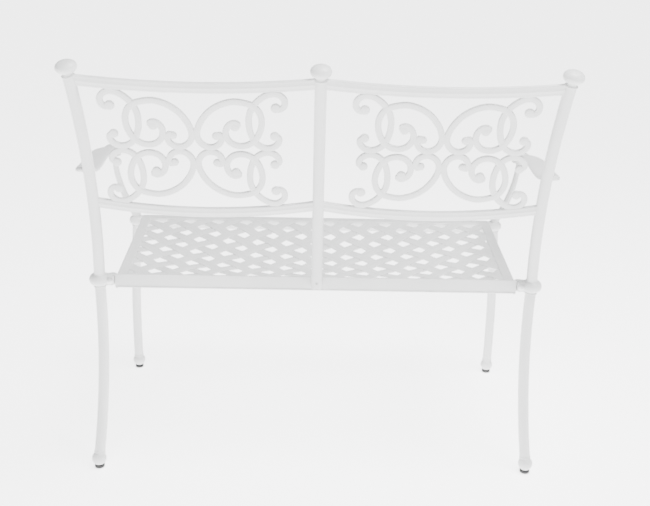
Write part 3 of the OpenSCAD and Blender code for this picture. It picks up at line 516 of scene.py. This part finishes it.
EDGE_LINE = [(-489, 442.5), (-484, 445), (-470, 447.4), (-450, 448.6), (-430, 448.4), (-246, 445.1),
             (-2.5, 441)]
DIP_LINE = [(-489, 0), (-440, 0), (-400, 4.2), (-354, 10.5), (-300, 17.1), (-246, 21.3), (-190, 23),
            (-150, 22.5), (-110, 19.3), (-75, 14.2), (-40, 7.6), (-20, 3.4), (-2.5, 0)]


def half_width(y):
    """The seat's half width at depth y, straight from front to rear."""
    return FRONT_HALF_W + (y - SEAT_FRONT) / (SEAT_REAR - SEAT_FRONT) * (REAR_HALF_W - FRONT_HALF_W)


def seat_top(x, y):
    """The sitting surface: the edge line's height less the dip, times one minus the square of
    the share of the half width, so that the seat is dished both ways."""
    share = np.clip(np.abs(x) / half_width(y), 0, 1)
    return smooth_table(y, EDGE_LINE) - smooth_table(y, DIP_LINE) * (1 - share ** 2)


WEAVE_Y = SEAT_FRONT + FRONT_BORDER + 8


def band_section():
    """Crowned band with two grooves: the top is 2.4 mm up in the middle and falls to 0.6 at its
    edges, less 1.4 in each groove; the underside is flat."""
    t = np.linspace(-1, 1, 21)
    groove = 1.4 * (np.exp(-((t - 0.42) / 0.12) ** 2) + np.exp(-((t + 0.42) / 0.12) ** 2))
    top = 2.4 - 1.8 * t ** 4 - groove
    upper = np.stack([t[::-1] * BAND_W / 2, top[::-1]], 1)
    return np.vstack([upper, [[-BAND_W / 2, -0.4], [-BAND_W / 2 + 1.5, -2.0], [BAND_W / 2 - 1.5, -2.0],
                              [BAND_W / 2, -0.4]]])


def weave_band(k, lean):
    """One band of the weave, on the line where x / (width / 2) - lean * y / (depth / 2) is 2 k.

    It rises and falls by 1.5 mm as a cosine of the crossings it meets, over at one and under at
    the next, and the other direction's bands do the opposite.
    """
    s = np.arange(-40, 40, 0.14)
    x = (2 * k + s) / 2 * WEAVE_W / 2
    y = WEAVE_Y + lean * (s - 2 * k) / 2 * WEAVE_D / 2
    inner = half_width(y) - BORDER_W + 9
    inside = (np.abs(x) < inner) & (y > SEAT_FRONT + FRONT_BORDER - 12) & (y < SEAT_REAR - BORDER_W + 10)
    if inside.sum() < 12:
        return None
    x, y, s = x[inside], y[inside], s[inside]
    wave = 1.5 * lean * np.cos(math.pi / 2 * s + math.pi * k)
    section = band_section()
    go = np.array([WEAVE_W, lean * WEAVE_D]) / math.hypot(WEAVE_W, WEAVE_D)
    across = np.array([-go[1], go[0]])
    px = x[:, None] + section[None, :, 0] * across[0]
    py = y[:, None] + section[None, :, 0] * across[1]
    pz = seat_top(px, py) - 3.2 + wave[:, None] + section[None, :, 1]
    return np.stack([px, py, pz], 2)


for label, lean in (("one_way", 1), ("other_way", -1)):
    bands = [weave_band(k, lean) for k in range(-20, 21)]
    piece("seat_weave_" + label, [skin(b) for b in bands if b is not None],
          WHITE_CAST, ["seat_panel"], crease=50)


def border_outline(inset_side, inset_front, inset_rear, n=40):
    """Corner-to-corner outline of the seat, moved inwards, n points a side, front first."""
    yf, yr = SEAT_FRONT + inset_front, SEAT_REAR - inset_rear
    t = np.linspace(0, 1, n, endpoint=False)[:, None]
    c = np.array([(-half_width(yf) + inset_side, yf), (half_width(yf) - inset_side, yf),
                  (half_width(yr) - inset_side, yr), (-half_width(yr) + inset_side, yr)])
    return np.vstack([c[k] * (1 - t) + c[(k + 1) % 4] * t for k in range(4)])


def seat_border():
    """Solid border as one closed loop of rings: across its width at the sitting surface, with
    round outer and inner edges of 3 mm, then back along an underside 7 mm down."""
    outer, inner = border_outline(0, 0, 0), border_outline(BORDER_W, FRONT_BORDER, BORDER_W)
    reach = np.linalg.norm(inner - outer, axis=1)
    a = np.linspace(0, math.pi / 2, 5)
    rows = []
    for depth, off in zip(3 * (1 - np.sin(a)), 3 * (1 - np.cos(a))):
        rows.append((off / reach, np.full(len(outer), -depth)))
    for t in (0.15, 0.3, 0.45, 0.6, 0.75, 0.88):
        rows.append((np.full(len(outer), t), np.zeros(len(outer))))
    for depth, off in zip(3 * (1 - np.cos(a)), 3 * (1 - np.sin(a))):
        rows.append((1 - off / reach, np.full(len(outer), -depth)))
    for t in (1.0, 0.66, 0.33, 0.0):
        rows.append((np.full(len(outer), t), np.full(len(outer), -7.0)))
    rings = []
    for t, down in rows:
        p = outer + (inner - outer) * t[:, None]
        rings.append(np.stack([p[:, 0], p[:, 1], seat_top(p[:, 0], p[:, 1]) + 0.6 + down], 1))
    return np.stack(rings, 1)


piece("seat_border_frame", [skin(seat_border(), closed=True)], WHITE_CAST, ["seat_panel"])


def flat_bar(a, b, height, thick, up, corner=1.6, ends=1.5):
    """Round-cornered flat bar from a to b; the last rings draw in by ends to round its ends."""
    a, b = np.asarray(a, float), np.asarray(b, float)
    length = np.linalg.norm(b - a)
    k = np.array([0, 0.3, 1.0]) * ends / length
    t = np.concatenate([k, np.linspace(k[-1], 1 - k[-1], 24)[1:-1], 1 - k[::-1]])
    path = a + (b - a) * t[:, None]
    inset = np.concatenate([[ends, ends * 0.35], np.zeros(len(t) - 4), [ends * 0.35, ends]])
    section = soft_box(height, thick, corner)
    return along_path(path, section, up, 1 - 2 * inset / height, 1 - 2 * inset / thick * 0.7)


skirt = flat_bar([-REAR_HALF_W, 0, 436.5], [REAR_HALF_W, 0, 436.5], 31, 5, [0, 0, 1.0])
skirt_lip = flat_bar([-REAR_HALF_W + 1, 0.8, 422.4], [REAR_HALF_W - 1, 0.8, 422.4], 3.4, 6.6, [0, 0, 1.0])
piece("rear_skirt", [skin(skirt), skin(skirt_lip)], WHITE_CAST, ["seat_rail_rear"])


# ---- arms ----

SUPPORT_FOOT = FRONT_KNUCKLE + np.array([0, 0, 11.5])
SUPPORT_TOP = np.array([FRONT_KNUCKLE[0] + 50, FRONT_KNUCKLE[1] + 16, ARM_Z - ARM_DROP])
ARM_REACH = POST_ARM[1] - SUPPORT_TOP[1]
ARM_OUT = SUPPORT_TOP[0] - POST_ARM[0] - 6
ARM_SIDE = ([(-4, -4), (8, -2)]
            + [(x * ARM_REACH, z * ARM_DROP) for x, z in
               ((0.08, 0), (0.21, 0.05), (0.39, 0.17), (0.58, 0.38), (0.76, 0.66), (0.88, 0.86))]
            + [(ARM_REACH + 10, ARM_DROP), (ARM_REACH + 24, ARM_DROP + 15), (ARM_REACH + 22, ARM_DROP + 31)])
ARM_SPREAD = [(-0.02, 0, 0.8), (0.02, 0.02, 0.96), (0.12, 0.08, 1), (0.29, 0.26, 1), (0.49, 0.46, 0.98),
              (0.68, 0.66, 0.9), (0.84, 0.86, 0.76), (0.93, 0.98, 0.66), (1.08, 1.02, 0.6)]


def arm_rings():
    """Crowned flat arm: an oval section across the arm, carried along its side line from the
    rear post to the front roll. Width and sideways place follow the distance from the post."""
    line = even(flowing([(POST_ARM[1] - x, ARM_Z - z) for x, z in ARM_SIDE], 16), 4.0)
    share = (POST_ARM[1] - line[:, 0]) / ARM_REACH
    middle = POST_ARM[0] + 6 + smooth_table(share, [(a, b * ARM_OUT) for a, b, _ in ARM_SPREAD])
    width = smooth_table(share, [(a, c * ARM_W) for a, _, c in ARM_SPREAD])
    path = np.column_stack([middle, line])
    s = np.arange(len(path)) * 4.0
    left = s[-1] - s
    ends = np.sqrt(np.clip(1 - (1 - np.clip(np.minimum(s, left) / 7, 0, 1)) ** 2, 0.02, 1))
    flat = oval(0.5, 0.5, 36, 3.4)
    flat[:, 1] += 0.10 * (1 - (2 * flat[:, 0]) ** 2) * (flat[:, 1] > 0)
    go = unit(np.gradient(np.column_stack([np.zeros(len(line)), line]), axis=0))
    across = np.array([1.0, 0, 0])
    return (path[:, None] + flat[None, :, :1] * (width * ends)[:, None, None] * across
            + flat[None, :, 1:] * (ARM_T * ends)[:, None, None] * np.cross(go, across)[:, None]
            * np.sign(np.cross(go[0], across)[2]))


def support_rings():
    """Tapered round bar on an arc from the front knuckle to the arm; the radius falls from 10 to
    6 mm and flares at both ends."""
    t = np.linspace(0, 1.0, 44)
    path = arc(SUPPORT_FOOT, SUPPORT_TOP, np.array([14.0, 4, 0]), t)
    radius = 10 - 4 * t + 2.2 * np.exp(-(t / 0.035) ** 2) + 4.5 * np.exp(-((1 - t) / 0.06) ** 2)
    return along_path(path, oval(1, 1, 28, 2), [0, 1.0, 0], radius)


for side, turn in (("left", lambda r: r), ("right", mirrored)):
    piece("arm_rest_" + side, [skin(turn(arm_rings()))], WHITE_CAST, ["arm_" + side], crease=60)
    piece("arm_stay_" + side, [skin(turn(support_rings()))], WHITE_CAST, ["arm_support_" + side])


# ---- knuckles, finials and feet ----

def ball_profile(d, h, crown=0.0):
    """(height, radius) rows of a ball squashed to height h: a round rim about a flat middle."""
    a = np.linspace(-math.pi / 2, math.pi / 2, 21)
    z = h / 2 * np.sin(a)
    r = (d - h) / 2 + h / 2 * np.cos(a)
    low = np.array([[-h / 2 - crown, 0.5], [-h / 2 - crown * 0.6, (d - h) / 4]])
    high = np.array([[h / 2 + crown * 0.6, (d - h) / 4], [h / 2 + crown, 0.5]])
    return np.vstack([low, np.stack([z, r], 1), high])


def bead_profile(at, r, size):
    """(height, radius) rows of a half-round bead of the given size round a neck of radius r."""
    a = np.linspace(-math.pi / 2, math.pi / 2, 9)
    return np.stack([at + size * np.sin(a), r + size * np.cos(a)], 1)


def direction(a, b, bow, t):
    """The arc's direction at t."""
    p = arc(a, b, bow, np.array([t - 0.002, t + 0.002]))
    return unit(p[1] - p[0])


def neck(centre, axis, start, end, r, bead_at, size):
    """Short sleeve round a tube with one bead, from start to end along the axis."""
    b = bead_profile(bead_at, r, size)
    profile = np.vstack([[start, r - 1.5], [start + 0.1, r], b, [end, r], [end + 0.8, TUBE_R - 0.6]])
    return turned(profile, centre, axis)


def lug_block(bolt, knuckle, back, front, w=17.0, h=22.0):
    """Lug as a round-cornered block through the knuckle's side, with softened faces."""
    x0, x1 = bolt[0] - w / 2, knuckle[0] - 4
    section = soft_box(x1 - x0, h, 3.6, 6) + np.array([(x0 + x1) / 2, 0])
    y = np.array([-front, -front + 0.5, -front + 1.6, back - 1.6, back - 0.5, back])
    inset = np.array([1.5, 0.45, 0, 0, 0.45, 1.5])
    mid = np.array([(x0 + x1) / 2, 0])
    scale = np.stack([1 - 2 * inset / (x1 - x0), 1 - 2 * inset / h], 1)
    flat = mid + (section - mid)[None] * scale[:, None]
    depth = np.broadcast_to(y[:, None] + bolt[1], flat.shape[:2])
    return np.stack([flat[..., 0], depth, flat[..., 1] + bolt[2]], 2)


REAR_BOLT = np.array([478 - 24.0, 0, 438])
FRONT_BOLT = np.array([482 - 25.5, -469.0, 428])


def finial_profile():
    """(height, radius) rows from the neck up: sleeve, ring, groove, then the squashed ball."""
    a = np.linspace(-1.0, math.pi / 2 - 0.03, 30)
    ball = np.stack([13.4 * np.sin(a), 21.4 * np.cos(a) ** 0.9], 1)
    low = np.array([[-20.4, 11.0], [-20.2, 12.0]])
    ring = bead_profile(-18.4, 12.2, 1.5)
    groove = np.array([[-16.6, 11.2], [-15.4, 9.8], [-13.4, 9.8]])
    return np.vstack([low, ring, groove, ball])


for side, turn in (("left", lambda r: r), ("right", mirrored)):
    up = direction(REAR_KNUCKLE, FINIAL, REAR_POST_BOW, 0.03)
    down = direction(REAR_KNUCKLE, REAR_FOOT, REAR_LEG_BOW, 0.03)
    piece("rear_knuckle_casting_" + side,
          [skin(turn(turned(ball_profile(45, 27), REAR_KNUCKLE, [0, 0, 1.0]))),
           skin(turn(neck(REAR_KNUCKLE, up, 10, 16.4, 12.2, 14.8, 1.0))),
           skin(turn(neck(REAR_KNUCKLE, down, 10, 18.2, 12.2, 16.2, 1.5))),
           skin(turn(lug_block(REAR_BOLT, REAR_KNUCKLE, 9, 14)))],
          WHITE_CAST, ["rear_knuckle_" + side])
    down = direction(FRONT_KNUCKLE, FRONT_FOOT, FRONT_LEG_BOW, 0.03)
    piece("front_knuckle_casting_" + side,
          [skin(turn(turned(ball_profile(42, 25), FRONT_KNUCKLE, [0, 0, 1.0]))),
           skin(turn(neck(FRONT_KNUCKLE, down, 9, 17, 12.2, 15, 1.4))),
           skin(turn(lug_block(FRONT_BOLT, FRONT_KNUCKLE, 4.5, 4.5)))],
          WHITE_CAST, ["front_knuckle_" + side])
    piece("ball_finial_" + side,
          [skin(turn(turned(finial_profile(), FINIAL,
                            direction(REAR_KNUCKLE, FINIAL, REAR_POST_BOW, 0.995), 56)))],
          WHITE_CAST, ["finial_" + side])
    for place, foot, knuckle, bow in (("rear", REAR_FOOT, REAR_KNUCKLE, REAR_LEG_BOW),
                                      ("front", FRONT_FOOT, FRONT_KNUCKLE, FRONT_LEG_BOW)):
        a = np.linspace(-math.asin((22.5 - GLIDE_H) / 16.5), math.pi / 2 - 0.06, 22)
        ball = np.stack([16.5 * np.sin(a), 16.5 * np.cos(a)], 1)
        up = -direction(knuckle, foot, bow, 0.97)
        piece("ball_foot_" + place + "_" + side,
              [skin(turn(turned(ball, foot, [0, 0, 1.0]))),
               skin(turn(neck(foot, up, 9, 16.6, 12.1, 15.2, 1.1)))],
              WHITE_CAST, ["foot_" + place + "_" + side])
        glide = np.array([[0.0, 9.2], [0.25, 10.4], [1.0, 11.2], [2.2, 11.5], [6.4, 11.5],
                          [7.4, 11.1], [7.95, 10.2]])
        piece("glide_cap_" + place + "_" + side,
              [skin(turn(turned(glide, [foot[0], foot[1], 0], [0, 0, 1.0], 40)))],
              BLACK_NYLON, ["glide_" + place + "_" + side])

piece("ball_finial_centre",
      [skin(turned(finial_profile(), CENTRE_FINIAL,
                   direction(CENTRE_FOOT, CENTRE_FINIAL, CENTRE_BOW, 0.995), 56))],
      WHITE_CAST, ["finial_centre"])


# ---- camera, light and floor ----

CAMERA_PLACE = (0.01661, 2.04274, 1.13698)
IMAGE_W, FOCAL_IN_IMAGE, SENSOR_W = 650, 901.146, 36
yaw, pitch, roll = -0.01824, 0.32448, 0.02278
forward = np.array([math.sin(yaw) * math.cos(pitch), -math.cos(yaw) * math.cos(pitch), -math.sin(pitch)])
right = unit(np.cross(forward, [0, 0, 1.0]))
upward = np.cross(right, forward)
cam_x = math.cos(roll) * right + math.sin(roll) * upward
cam_y = -math.sin(roll) * right + math.cos(roll) * upward
camera = bpy.data.objects.new("camera", bpy.data.cameras.new("camera"))
camera.data.lens = FOCAL_IN_IMAGE / IMAGE_W * SENSOR_W
camera.data.sensor_width = SENSOR_W
camera.matrix_world = Matrix([[cam_x[i], cam_y[i], -forward[i], CAMERA_PLACE[i]] for i in range(3)]
                             + [[0, 0, 0, 1]])
bpy.context.scene.collection.objects.link(camera)
bpy.context.scene.camera = camera


def soft_light(name, place, towards, size, power):
    """Square area light at place, turned towards a point."""
    data = bpy.data.lights.new(name, "AREA")
    data.shape, data.size, data.energy = "SQUARE", size, power
    lamp = bpy.data.objects.new(name, data)
    z = unit(np.array(place, float) - np.array(towards, float))
    x = unit(np.cross([0, 0, 1.0], z))
    y = np.cross(z, x)
    lamp.matrix_world = Matrix([[x[i], y[i], z[i], place[i]] for i in range(3)] + [[0, 0, 0, 1]])
    bpy.context.scene.collection.objects.link(lamp)


soft_light("key", (1.1, 4.8, 2.9), (0, 0, 0.45), 1.2, 95)
soft_light("top", (-0.9, 0.4, 3.0), (0, -0.1, 0.4), 1.4, 190)

world = bpy.data.worlds.new("studio")
world.use_nodes = True
world.node_tree.nodes["Background"].inputs["Color"].default_value = (0.97, 0.98, 1.0, 1)
world.node_tree.nodes["Background"].inputs["Strength"].default_value = 0.7
bpy.context.scene.world = world

floor_mesh = bpy.data.meshes.new("floor")
floor_mesh.from_pydata([(-45, -45, 0), (45, -45, 0), (45, 45, 0), (-45, 45, 0)], [], [(0, 1, 2, 3)])
floor = bpy.data.objects.new("floor", floor_mesh)
paper = bpy.data.materials.new("pale_floor")
paper.use_nodes = True
paper.node_tree.nodes["Principled BSDF"].inputs["Base Color"].default_value = (0.93, 0.93, 0.93, 1)
paper.node_tree.nodes["Principled BSDF"].inputs["Roughness"].default_value = 0.9
paper.node_tree.nodes["Principled BSDF"].inputs["Emission Color"].default_value = (1, 1, 1, 1)
paper.node_tree.nodes["Principled BSDF"].inputs["Emission Strength"].default_value = 3.8
floor_mesh.materials.append(paper)
bpy.context.scene.collection.objects.link(floor)
